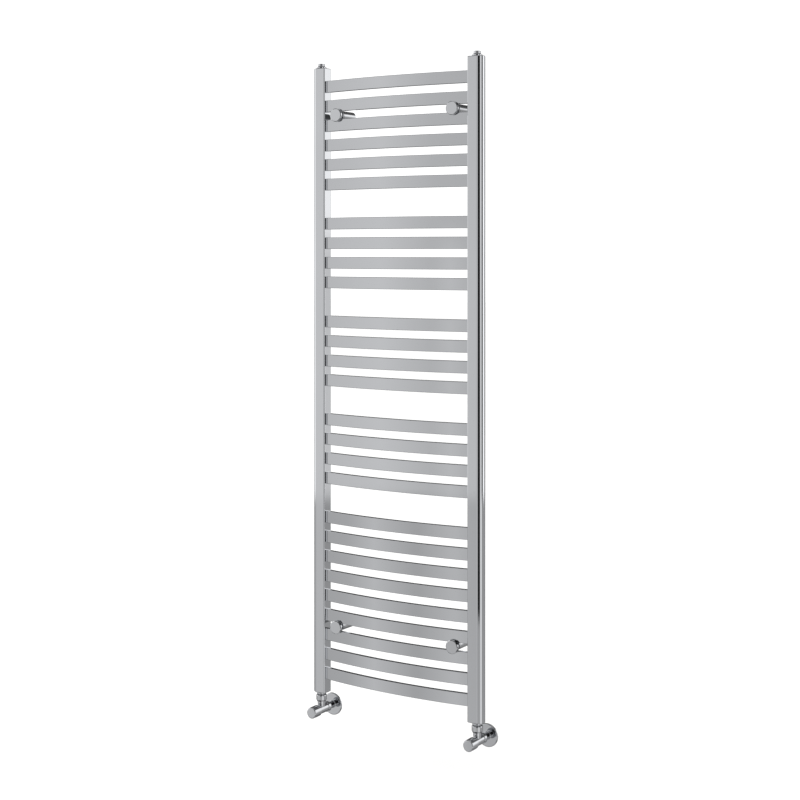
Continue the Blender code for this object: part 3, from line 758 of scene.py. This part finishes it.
def valve_measures(context):
    """Radii and lengths of the left valve, read from its nodes."""
    sizes = context.scene.radiator_valves
    body_low, body_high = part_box("left_valve_body")
    cap_low, cap_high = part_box("left_handle_cap")
    nut_low, nut_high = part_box("left_union_nut")
    tail_low, tail_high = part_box("left_tail")
    rose_low, rose_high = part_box("left_wall_rose")
    ring_low, ring_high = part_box("left_compression_nut")
    plug_low, plug_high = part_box("left_valve_plug")
    spindle_low, spindle_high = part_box("left_spindle")
    x = (cap_low.x + cap_high.x) / 2
    y = (tail_low.y + tail_high.y) / 2
    return {
        "centre": (x, y, 0), "gap": sizes.gap,
        "neck_front": y - body_low.y, "thread_back": y - body_high.y,
        "barrel": (body_high.x - body_low.x) / 2, "boss_top": body_high.z,
        "handle": (cap_high.x - cap_low.x) / 2, "handle_front": y - cap_low.y,
        "handle_back": y - cap_high.y, "nut": (nut_high.x - nut_low.x) / 2,
        "nut_bottom": nut_low.z, "nut_top": nut_high.z, "tail_top": tail_high.z,
        "tail_bottom": tail_low.z, "rose": (rose_high.x - rose_low.x) / 2,
        "rose_front": y - rose_low.y, "wall": y - rose_high.y,
        "ring": (ring_high.x - ring_low.x) / 2, "ring_front": y - ring_low.y,
        "ring_back": y - ring_high.y, "collar": (tail_high.x - tail_low.x) / 2,
        "plug_back": y - plug_high.y, "plug": (plug_high.x - plug_low.x) / 2,
        "spindle": (spindle_high.x - spindle_low.x) / 2,
        "spindle_front": y - spindle_low.y, "upright_bottom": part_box("upright_left")[0].z,
        "span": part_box("right_handle_cap")[0].x - cap_low.x,
    }


def both_sides(piece, part, span, body=BODY):
    """Plate the left valve's piece, copy it to the right valve, and let both stand for their nodes
    on their bodies.
    """
    smooth(piece)
    coat(piece, chrome())
    twin = copied(piece, piece.name.replace("left", "right"), (span, 0, 0))
    for made, side in ((piece, "left"), (twin, "right")):
        hand_in(made, body.format(side=side), "chrome", f"{side}_{part}")


class AddValveBodies(bpy.types.Operator):
    """Add the valve bodies: a level barrel with an upright boss, bored through."""

    bl_idname = "radiator.add_valve_bodies"
    bl_label = "Valve bodies"

    def execute(self, context):
        m = valve_measures(context)
        neck_radius = 0.0080
        barrel_front = 0.0165
        thread = 0.0098
        shoulder = 0.0170
        barrel_round = 0.0014
        boss_radius = 0.0100
        boss_waist = m["barrel"] + 0.0035
        boss_root = boss_radius - 0.0015
        overshoot = 0.002
        chamber_front = 0.0125
        socket = 0.0080
        outlet_radius = 0.0058
        spindle_bore = m["spindle"] + m["gap"] + 0.0001
        seat_back = m["plug_back"] - m["gap"] - 0.0030
        body = turned("left_body", [
            (0, m["neck_front"]), (neck_radius, m["neck_front"], SOFT_EDGE),
            (neck_radius, barrel_front, SOFT_EDGE), (m["barrel"], barrel_front, barrel_round),
            (m["barrel"], -shoulder, SMALL_EDGE), (thread, -shoulder), (thread, m["thread_back"]),
            (0, m["thread_back"])], m["centre"])
        boss = turned("boss", [
            (0, m["boss_top"]), (boss_radius, m["boss_top"], SMALL_EDGE),
            (boss_radius, boss_waist, ROUND_EDGE), (boss_root, 0), (0, 0)],
            m["centre"], forward=False)
        cut(body, boss, "UNION")
        chamber = m["plug"] + 0.0013
        seat = m["plug"] - 0.0017
        bore = turned("bore", [
            (0, m["neck_front"] + overshoot), (spindle_bore, m["neck_front"] + overshoot),
            (spindle_bore, chamber_front), (chamber, chamber_front),
            (chamber, m["plug_back"] - m["gap"]),
            (seat, m["plug_back"] - m["gap"]), (seat, seat_back), (socket, seat_back),
            (socket, m["thread_back"] - overshoot), (0, m["thread_back"] - overshoot)],
            m["centre"])
        cut(body, bore)
        outlet = turned("outlet", [
            (0, m["boss_top"] + overshoot), (outlet_radius, m["boss_top"] + overshoot),
            (outlet_radius, 0), (0, 0)],
            m["centre"], forward=False)
        cut(body, outlet)
        both_sides(body, "valve_body", m["span"])
        return {"FINISHED"}


class AddValveTails(bpy.types.Operator):
    """Add the tails that screw into the uprights, and the union nuts that hold them."""

    bl_idname = "radiator.add_valve_tails"
    bl_label = "Valve tails and union nuts"

    def execute(self, context):
        m = valve_measures(context)
        sizes = context.scene.radiator_valves
        gap = m["gap"]
        bore = 0.0065
        tube = 0.0085
        thread = 0.0100
        collar_top = m["upright_bottom"] - gap
        collar_bottom = collar_top - 0.0051
        flange_top = m["tail_bottom"] + 0.0030
        inside = 0.0105 + gap
        flange = inside - gap
        upper_round, lower_round = 0.0016, 0.0018
        tail = turned("left_tail_piece", [
            (bore, m["tail_top"]), (thread, m["tail_top"], SOFT_EDGE), (thread, collar_top),
            (m["collar"], collar_top, upper_round), (m["collar"], collar_bottom, lower_round),
            (tube, collar_bottom), (tube, flange_top), (flange, flange_top),
            (flange, m["tail_bottom"]), (bore, m["tail_bottom"])],
            m["centre"], forward=False, closed=True)
        both_sides(tail, "tail", m["span"])
        lip = tube + gap
        taper_height, taper_width, taper_round = 0.0040, 0.0010, 0.0020
        nut = turned("left_nut", [
            (lip, m["nut_top"]), (m["nut"], m["nut_top"], sizes.nut_round),
            (m["nut"], m["nut_bottom"] + taper_height, taper_round),
            (inside + taper_width, m["nut_bottom"], SOFT_EDGE), (inside, m["nut_bottom"]),
            (inside, flange_top + gap), (lip, flange_top + gap)],
            m["centre"], forward=False, closed=True)
        both_sides(nut, "union_nut", m["span"])
        return {"FINISHED"}


class AddValvePipeSides(bpy.types.Operator):
    """Add the compression nuts and the wall roses with their sleeves."""

    bl_idname = "radiator.add_valve_pipe_sides"
    bl_label = "Compression nuts and wall roses"

    def execute(self, context):
        m = valve_measures(context)
        sizes = context.scene.radiator_valves
        gap = m["gap"]
        inside = 0.0098 + gap
        bore = 0.0080
        ring = turned("left_ring", [
            (inside, m["ring_front"]), (m["ring"], m["ring_front"], WIDE_EDGE),
            (m["ring"], m["ring_back"], WIDE_EDGE), (bore, m["ring_back"]),
            (bore, m["thread_back"] - gap), (inside, m["thread_back"] - gap)],
            m["centre"], closed=True)
        both_sides(ring, "compression_nut", m["span"])
        sleeve = bore + 0.0013
        plate = m["wall"] + 0.0040
        rose = turned("left_rose", [
            (bore, m["rose_front"]), (sleeve, m["rose_front"], FINE_EDGE),
            (sleeve, plate, WIDE_EDGE), (m["rose"], plate, sizes.rose_round),
            (m["rose"], m["wall"]), (bore, m["wall"])],
            m["centre"], closed=True, steps=96)
        both_sides(rose, "wall_rose", m["span"])
        return {"FINISHED"}


class AddValveHandles(bpy.types.Operator):
    """Add the smooth round handle caps."""

    bl_idname = "radiator.add_valve_handles"
    bl_label = "Valve handles"

    def execute(self, context):
        m = valve_measures(context)
        sizes = context.scene.radiator_valves
        wall = 0.0020
        inner = m["handle"] - wall
        inner_front = m["handle_front"] - wall
        grip_back = m["spindle_front"] - 0.0105
        hole = 0.0035 + m["gap"]
        boss = hole + 0.0024
        cap = turned("left_handle_piece", [
            (0, m["handle_front"]), (m["handle"], m["handle_front"], sizes.handle_round),
            (m["handle"], m["handle_back"], EDGE), (inner, m["handle_back"], SMALL_EDGE),
            (inner, inner_front, ROUND_EDGE), (boss, inner_front), (boss, grip_back),
            (hole, grip_back), (hole, inner_front), (0, inner_front)],
            m["centre"], steps=96)
        both_sides(cap, "handle_cap", m["span"], "{side}_handle")
        return {"FINISHED"}


class CoatInnerPieces(bpy.types.Operator):
    """Give the brass pieces inside the valves their finish."""

    bl_idname = "radiator.coat_inner_pieces"
    bl_label = "Pieces inside the valves"

    def execute(self, context):
        for side, _ in SIDES:
            for part in ("valve_plug", "spindle"):
                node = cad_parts[f"{side}_{part}"]
                coat(node, brass())
        return {"FINISHED"}


# ---- Stage


FLOOR_SIZE = 60.0
SOFTBOX_PLACE = (-1.2, -2.2, 3.2)
SOFTBOX_AIM = (0, 0, 0.8)
SOFTBOX_WIDTH = 5.0
SOFTBOX_LENGTH = 4.0
SOFTBOX_POWER = 45.0
SENSOR_WIDTH = 36.0
VIEW_END = 200.0
OPEN_LIGHT = 1.18
FULL_TURN = 360.0
# Sines of elevation between which one part of the studio gives way to the next
HORIZON_STEP = (-0.172, -0.160)
HIGH_STEP = (-0.01, 0.03)
CEILING_STEP = (0.50, 0.62)
OVERHEAD_STEP = (0.80, 0.92)
GROUND_STEP = (-0.72, -0.42)
BELOW_STEP = (-0.86, -0.74)
# Brightness of the parts that are the same all round
DARK_LEVEL = 0.12
OVERHEAD_LEVEL = 0.60
BELOW_LEVEL = 0.50
# The panel that hangs below the horizon: degrees of azimuth, and sine of elevation
PANEL_MIDDLE = 26
PANEL_HALF = 20
PANEL_DROP = 0.077
# Brightness of the walls by azimuth in degrees: 0 is in front of the radiator, 90 to its right
LEVEL_WALLS = ((-180, 0.25), (-175, 0.10), (-138, 0.10), (-134, 0.55), (-98, 0.55),
               (-94, 1.25), (-57, 1.25), (-53.5, 0.74), (-36, 0.82), (-22, 0.68), (-17, 0.75),
               (-10, 0.64), (4, 0.64), (7, 0.01), (44, 0.01), (47, 0.70), (58, 0.80), (62, 1.15),
               (75, 1.15), (77, 0.02), (102, 0.02), (104, 1.60), (128, 1.60), (131, 0.80),
               (150, 0.80), (153, 0.35), (180, 0.25))
HIGH_WALLS = ((-180, 0.06), (-175, 0.06), (-138, 0.10), (-134, 0.50), (-98, 0.50), (-94, 1.20),
              (-57, 1.20), (-53.5, 0.74), (-36, 0.82), (-22, 0.68), (-10, 0.64), (4, 0.64),
              (7, 0.01), (44, 0.01), (47, 0.70), (62, 1.10), (75, 1.10), (77, 0.02), (102, 0.02),
              (104, 1.60), (128, 1.60), (131, 0.95), (139, 0.95), (141, 1.30), (150, 1.30),
              (152, 0.30), (158, 0.10), (180, 0.06))
LOW_WALLS = ((-180, 0.30), (-144, 0.34), (-100, 0.42), (-84, 0.50), (-52, 0.56), (-46, 0.58),
             (-38, 0.73), (-26, 0.54), (-16, 0.70), (-10, 0.60), (4, 0.56), (8, 0.50), (44, 0.50),
             (50, 0.80), (60, 1.00), (80, 1.00), (84, 0.42), (125, 0.44), (150, 0.40),
             (180, 0.30))


def azimuth_ramp(tree, source, levels, place):
    """Add a colour ramp that gives a brightness for every azimuth."""
    node = add_node(tree, "ShaderNodeValToRGB", place)
    ramp = node.color_ramp
    ramp.interpolation = "LINEAR"
    while len(ramp.elements) < len(levels):
        ramp.elements.new(0.5)
    for element, (azimuth, level) in zip(ramp.elements, levels):
        element.position = azimuth / FULL_TURN + 0.5
        element.color = (level, level, level, 1.0)
    # A second pass, because the ramp sorts its elements while their places change
    for element, (azimuth, level) in zip(ramp.elements, levels):
        element.position = azimuth / FULL_TURN + 0.5
    tree.links.new(source, node.inputs["Fac"])
    return node.outputs["Color"]


def step_up(tree, source, low, high, place):
    """Add a smooth step of a value between two sines of elevation."""
    node = add_node(tree, "ShaderNodeMapRange", place, interpolation_type="SMOOTHSTEP")
    fill(node, {"From Min": low, "From Max": high})
    tree.links.new(source, node.inputs["Value"])
    return node.outputs["Result"]


def blend_colours(tree, factor, first, second, place):
    """Mix two colour sockets or values."""
    node = add_node(tree, "ShaderNodeMix", place, data_type="RGBA")
    tree.links.new(factor, node.inputs["Factor"])
    for socket, value in ((node.inputs["A"], first), (node.inputs["B"], second)):
        if isinstance(value, float):
            socket.default_value = (value, value, value, 1.0)
        else:
            tree.links.new(value, socket)
    return node.outputs["Result"]


def light_studio():
    """Surround the radiator with pale walls, a few dark flags, a ceiling and a ground."""
    world = bpy.data.worlds.new("Studio")
    bpy.context.scene.world = world
    world.use_nodes = True
    tree = world.node_tree
    tree.nodes.clear()
    coordinates = add_node(tree, "ShaderNodeTexCoord", (-1800, 0))
    parts = add_node(tree, "ShaderNodeSeparateXYZ", (-1600, 0))
    wire(tree, (coordinates, "Generated", parts, "Vector"))
    front = add_node(tree, "ShaderNodeMath", (-1400, -100), operation="MULTIPLY")
    fill(front, {1: -1.0})
    wire(tree, (parts, "Y", front, 0))
    angle = add_node(tree, "ShaderNodeMath", (-1200, 0), operation="ARCTAN2")
    wire(tree, (parts, "X", angle, 0), (front, 0, angle, 1))
    share = add_node(tree, "ShaderNodeMath", (-1000, 0), operation="MULTIPLY_ADD")
    fill(share, {1: 1 / math.tau})
    fill(share, {2: 0.5})
    wire(tree, (angle, 0, share, 0))
    azimuth = share.outputs[0]
    height = parts.outputs["Z"]
    level = azimuth_ramp(tree, azimuth, LEVEL_WALLS, (-750, 300))
    high = azimuth_ramp(tree, azimuth, HIGH_WALLS, (-750, 0))
    low = azimuth_ramp(tree, azimuth, LOW_WALLS, (-750, -300))
    panel = add_node(tree, "ShaderNodeMath", (-750, -550), operation="COMPARE")
    fill(panel, {1: PANEL_MIDDLE / FULL_TURN + 0.5})
    fill(panel, {2: PANEL_HALF / FULL_TURN})
    tree.links.new(azimuth, panel.inputs[0])
    lower_edge = add_node(tree, "ShaderNodeMath", (-550, -550), operation="MULTIPLY_ADD")
    fill(lower_edge, {1: PANEL_DROP})
    wire(tree, (panel, 0, lower_edge, 0))
    tree.links.new(height, lower_edge.inputs[2])
    walls = blend_colours(
        tree, step_up(tree, height, *HIGH_STEP, (-550, 200)), level, high, (-350, 200))
    ceiling = blend_colours(
        tree, step_up(tree, height, *CEILING_STEP, (-550, 450)), walls, DARK_LEVEL, (-150, 250))
    overhead = blend_colours(
        tree, step_up(tree, height, *OVERHEAD_STEP, (-350, 650)), ceiling, OVERHEAD_LEVEL,
        (0, 350))
    above = step_up(tree, lower_edge.outputs[0], *HORIZON_STEP, (-350, -500))
    ground = blend_colours(
        tree, step_up(tree, height, *GROUND_STEP, (-550, -300)), DARK_LEVEL, low, (-150, -200))
    below = blend_colours(
        tree, step_up(tree, height, *BELOW_STEP, (-350, -700)), BELOW_LEVEL, ground, (0, -350))
    studio = blend_colours(tree, above, below, overhead, (150, 50))
    mirrored = add_node(tree, "ShaderNodeBackground", (250, 50))
    tree.links.new(studio, mirrored.inputs["Color"])
    open_light = add_node(tree, "ShaderNodeBackground", (250, -150))
    fill(open_light, {"Color": (1.0, 1.0, 1.0, 1.0), "Strength": OPEN_LIGHT})
    path = add_node(tree, "ShaderNodeLightPath", (250, 350))
    chosen = add_node(tree, "ShaderNodeMixShader", (500, 0))
    wire(tree, (path, "Is Glossy Ray", chosen, "Fac"), (open_light, "Background", chosen, 1),
         (mirrored, "Background", chosen, 2))
    output = add_node(tree, "ShaderNodeOutputWorld", (700, 0))
    wire(tree, (chosen, "Shader", output, "Surface"))


def floor_material(colour):
    """Plain pale matt floor with a trace of unevenness."""
    material = bpy.data.materials.new("Pale floor")
    material.use_nodes = True
    tree = material.node_tree
    shader = tree.nodes["Principled BSDF"]
    fill(shader, {"Roughness": 0.9, "Specular IOR Level": 0.1})
    coordinates = add_node(tree, "ShaderNodeTexCoord", (-700, 0))
    cloud = add_node(tree, "ShaderNodeTexNoise", (-500, 0))
    fill(cloud, {"Scale": 1.5})
    tone = add_node(tree, "ShaderNodeMix", (-250, 0), data_type="RGBA")
    fill(tone, {"A": (*[c * 0.985 for c in colour], 1.0), "B": (*colour, 1.0)})
    wire(tree, (coordinates, "Object", cloud, "Vector"), (cloud, "Fac", tone, "Factor"),
         (tone, "Result", shader, "Base Color"))
    return material


class SetStage(bpy.types.Operator):
    """Add the camera, the pale floor and the soft studio light."""

    bl_idname = "radiator.set_stage"
    bl_label = "Stage"

    def execute(self, context):
        sizes = context.scene.radiator_stage
        light_studio()
        clear_selection()
        bpy.ops.mesh.primitive_plane_add(size=FLOOR_SIZE, location=(0, 0, sizes.floor_height))
        floor = name_new("floor")
        settle()
        coat(floor, floor_material(tuple(sizes.floor_colour)))
        floor.visible_glossy = False
        bpy.ops.object.light_add(type="AREA", location=SOFTBOX_PLACE)
        softbox = bpy.context.object
        softbox.name = "softbox"
        softbox.data.shape = "RECTANGLE"
        softbox.data.size = SOFTBOX_WIDTH
        softbox.data.size_y = SOFTBOX_LENGTH
        softbox.data.energy = SOFTBOX_POWER
        aim = Vector(SOFTBOX_AIM) - softbox.location
        softbox.rotation_euler = aim.to_track_quat("-Z", "Y").to_euler()
        softbox.visible_camera = False
        softbox.visible_glossy = False
        bpy.ops.object.camera_add(location=sizes.camera_place,
                                  rotation=(math.pi / 2, 0, sizes.camera_turn))
        camera = bpy.context.object
        camera.name = "camera"
        camera.data.sensor_width = SENSOR_WIDTH
        camera.data.lens = sizes.lens
        camera.data.shift_y = sizes.rise
        camera.data.clip_end = VIEW_END
        context.scene.camera = camera
        context.scene.view_settings.view_transform = "Standard"
        clear_selection()
        return {"FINISHED"}


class RadiatorPanel(bpy.types.Panel):
    """Sidebar panel that lists the pieces and their sizes."""

    bl_idname = "VIEW3D_PT_radiator"
    bl_label = "Towel Radiator"
    bl_space_type = "VIEW_3D"
    bl_region_type = "UI"
    bl_category = "Radiator"

    def draw(self, context):
        for label, _, settings in SETTINGS:
            box = self.layout.box()
            box.label(text=label)
            values = getattr(context.scene, settings)
            for name in values.__annotations__:
                box.prop(values, name)
        for operator in PIECES:
            self.layout.operator(operator.bl_idname)


SETTINGS = (
    ("Uprights", UprightSettings, "radiator_uprights"),
    ("Rungs", RungSettings, "radiator_rungs"),
    ("Brackets", BracketSettings, "radiator_brackets"),
    ("Top fittings", FittingSettings, "radiator_fittings"),
    ("Valves", ValveSettings, "radiator_valves"),
    ("Finishes", FinishSettings, "radiator_finish"),
    ("Stage", StageSettings, "radiator_stage"),
)
PIECES = (AddUprights, AddRungs, AddBrackets, AddTopFittings, AddValveBodies, AddValveTails,
          AddValvePipeSides, AddValveHandles, CoatInnerPieces, SetStage)


def register():
    """Register the settings, the operators and the panel."""
    for _, settings, name in SETTINGS:
        bpy.utils.register_class(settings)
        setattr(bpy.types.Scene, name, bpy.props.PointerProperty(type=settings))
    for operator in PIECES:
        bpy.utils.register_class(operator)
    bpy.utils.register_class(RadiatorPanel)


def unregister():
    """Remove what register added."""
    bpy.utils.unregister_class(RadiatorPanel)
    for operator in reversed(PIECES):
        bpy.utils.unregister_class(operator)
    for _, settings, name in reversed(SETTINGS):
        delattr(bpy.types.Scene, name)
        bpy.utils.unregister_class(settings)


def main():
    """Build every piece and the stage."""
    register()
    bpy.ops.radiator.add_uprights()
    bpy.ops.radiator.add_rungs()
    bpy.ops.radiator.add_brackets()
    bpy.ops.radiator.add_top_fittings()
    bpy.ops.radiator.add_valve_bodies()
    bpy.ops.radiator.add_valve_tails()
    bpy.ops.radiator.add_valve_pipe_sides()
    bpy.ops.radiator.add_valve_handles()
    bpy.ops.radiator.coat_inner_pieces()
    bpy.ops.radiator.set_stage()


if __name__ == "__main__":
    main()
